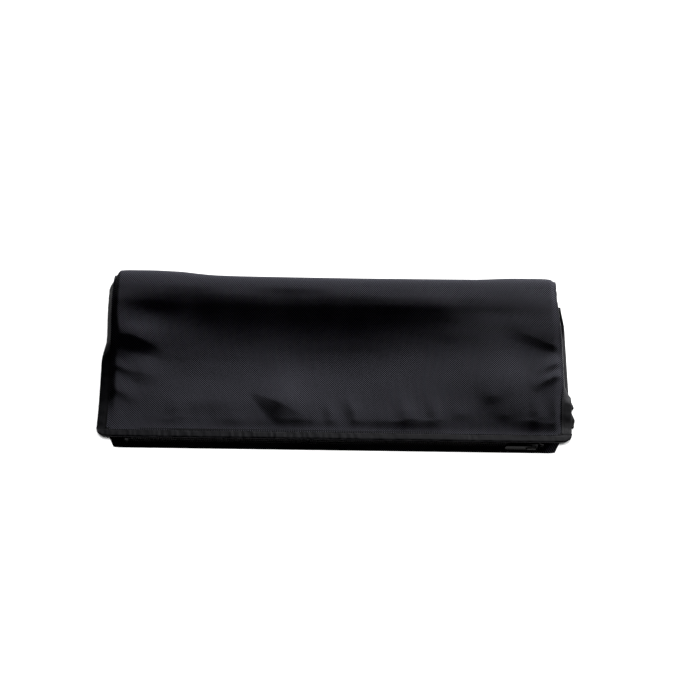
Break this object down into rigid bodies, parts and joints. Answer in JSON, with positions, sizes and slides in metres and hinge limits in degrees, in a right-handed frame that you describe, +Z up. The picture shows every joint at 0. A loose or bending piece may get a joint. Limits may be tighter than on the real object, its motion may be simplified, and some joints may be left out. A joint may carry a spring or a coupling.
{
  "type": "film changing bag",
  "caption": "Flat black nylon double bag with arm sleeves and nested zips, folded in half, for loading film in full darkness",
  "frame": {"origin": "middle of the folded bag's footprint on the table", "axes": "+X along the back fold, towards the closed zip sliders; +Y from the free hem to the back fold; +Z up"},
  "size_m": [0.4368, 0.181, 0.038],
  "materials": {
    "outer_cloth": "black coarse nylon basket weave, matt",
    "lining_cloth": "black rubberised nylon, smooth and dull",
    "sleeve_cloth": "black light nylon, matt",
    "elastic_tape": "black knitted elastic, matt",
    "binding_tape": "black nylon seam tape, fine weave, slight sheen",
    "zip_tape": "black polyester zip tape, matt",
    "coil_plastic": "black nylon coil, satin",
    "stop_metal": "black painted stamped stop, satin",
    "slider_metal": "black painted die-cast slider, satin",
    "pull_metal": "black painted pull, satin"
  },
  "bodies": {
    "base": {"base_binding_left": "binding_tape", "base_binding_right": "binding_tape", "base_lining_lower": "lining_cloth", "base_lining_upper": "lining_cloth", "base_outer_lower": "outer_cloth", "base_outer_upper": "outer_cloth", "fold_binding_left": "binding_tape", "fold_binding_right": "binding_tape", "fold_inner_cover": "outer_cloth", "fold_lining_inner": "lining_cloth", "fold_lining_outer": "lining_cloth", "fold_outer_cover": "outer_cloth", "inner_zip_bottom_stop": "stop_metal", "inner_zip_coil_lower": "coil_plastic", "inner_zip_coil_upper": "coil_plastic", "inner_zip_tape_lower": "zip_tape", "inner_zip_tape_upper": "zip_tape", "inner_zip_top_stop_lower": "stop_metal", "inner_zip_top_stop_upper": "stop_metal", "outer_zip_bottom_stop": "stop_metal", "outer_zip_coil_lower": "coil_plastic", "outer_zip_coil_upper": "coil_plastic", "outer_zip_tape_lower": "zip_tape", "outer_zip_tape_upper": "zip_tape", "outer_zip_top_stop_lower": "stop_metal", "outer_zip_top_stop_upper": "stop_metal"},
    "flap": {"flap_binding_left": "binding_tape", "flap_binding_right": "binding_tape", "flap_lining_lower": "lining_cloth", "flap_lining_upper": "lining_cloth", "flap_outer_lower": "outer_cloth", "flap_outer_upper": "outer_cloth", "hem_binding": "binding_tape"},
    "left_sleeve_upper_arm": {"sleeve_left_mid_fold_inner": "sleeve_cloth", "sleeve_left_mid_fold_outer": "sleeve_cloth", "sleeve_left_root_fold": "sleeve_cloth", "sleeve_left_root_lower": "sleeve_cloth", "sleeve_left_root_upper": "sleeve_cloth"},
    "left_sleeve_forearm": {"sleeve_left_end_lower": "sleeve_cloth", "sleeve_left_end_upper": "sleeve_cloth", "sleeve_left_forearm_elastic": "elastic_tape", "sleeve_left_wrist_elastic": "elastic_tape"},
    "right_sleeve_upper_arm": {"sleeve_right_mid_fold_inner": "sleeve_cloth", "sleeve_right_mid_fold_outer": "sleeve_cloth", "sleeve_right_root_fold": "sleeve_cloth", "sleeve_right_root_lower": "sleeve_cloth", "sleeve_right_root_upper": "sleeve_cloth"},
    "right_sleeve_forearm": {"sleeve_right_end_lower": "sleeve_cloth", "sleeve_right_end_upper": "sleeve_cloth", "sleeve_right_forearm_elastic": "elastic_tape", "sleeve_right_wrist_elastic": "elastic_tape"},
    "outer_slider": {"outer_zip_slider": "slider_metal"},
    "outer_pull": {"outer_zip_pull": "pull_metal"},
    "inner_slider": {"inner_zip_slider": "slider_metal"},
    "inner_pull": {"inner_zip_pull": "pull_metal"}
  },
  "joints": [
    {"name": "flap_fold", "type": "hinge", "parent": "base", "child": "flap", "pos_m": [0, 0.0715, 0.019], "axis": [-1, 0, 0], "range_deg": [0, 180], "deforming": ["fold_binding_left", "fold_binding_right", "fold_inner_cover", "fold_lining_inner", "fold_lining_outer", "fold_outer_cover"]},
    {"name": "left_sleeve_unfold", "type": "hinge", "parent": "flap", "child": "left_sleeve_upper_arm", "pos_m": [-0.212, -0.0205, 0.01595], "axis": [0, 1, 0], "range_deg": [0, 180], "deforming": ["sleeve_left_root_fold"]},
    {"name": "left_cuff_unfold", "type": "hinge", "parent": "left_sleeve_upper_arm", "child": "left_sleeve_forearm", "pos_m": [-0.128, -0.0465, 0.01265], "axis": [0, -1, 0], "range_deg": [0, 180], "deforming": ["sleeve_left_mid_fold_outer", "sleeve_left_mid_fold_inner"]},
    {"name": "right_sleeve_unfold", "type": "hinge", "parent": "flap", "child": "right_sleeve_upper_arm", "pos_m": [0.212, -0.0205, 0.01595], "axis": [0, -1, 0], "range_deg": [0, 180], "deforming": ["sleeve_right_root_fold"]},
    {"name": "right_cuff_unfold", "type": "hinge", "parent": "right_sleeve_upper_arm", "child": "right_sleeve_forearm", "pos_m": [0.128, -0.0465, 0.01265], "axis": [0, 1, 0], "range_deg": [0, 180], "deforming": ["sleeve_right_mid_fold_outer", "sleeve_right_mid_fold_inner"]},
    {"name": "outer_zip_slide", "type": "slide", "parent": "base", "child": "outer_slider", "axis": [-1, 0, 0], "range_m": [0, 0.3563]},
    {"name": "outer_pull_swing", "type": "hinge", "parent": "outer_slider", "child": "outer_pull", "pos_m": [0.1794, -0.08755, 0.0046], "axis": [0, 0, 1], "range_deg": [0, 170]},
    {"name": "inner_zip_slide", "type": "slide", "parent": "base", "child": "inner_slider", "axis": [-1, 0, 0], "range_m": [0, 0.3477]},
    {"name": "inner_pull_swing", "type": "hinge", "parent": "inner_slider", "child": "inner_pull", "pos_m": [0.1751, -0.05876, 0.0046], "axis": [0, 0, 1], "range_deg": [0, 170]}
  ],
  "couplings": [
    {"joint": "left_sleeve_unfold", "follows": "flap_fold", "ratio": 1},
    {"joint": "left_cuff_unfold", "follows": "flap_fold", "ratio": 1},
    {"joint": "right_sleeve_unfold", "follows": "flap_fold", "ratio": 1},
    {"joint": "right_cuff_unfold", "follows": "flap_fold", "ratio": 1}
  ]
}
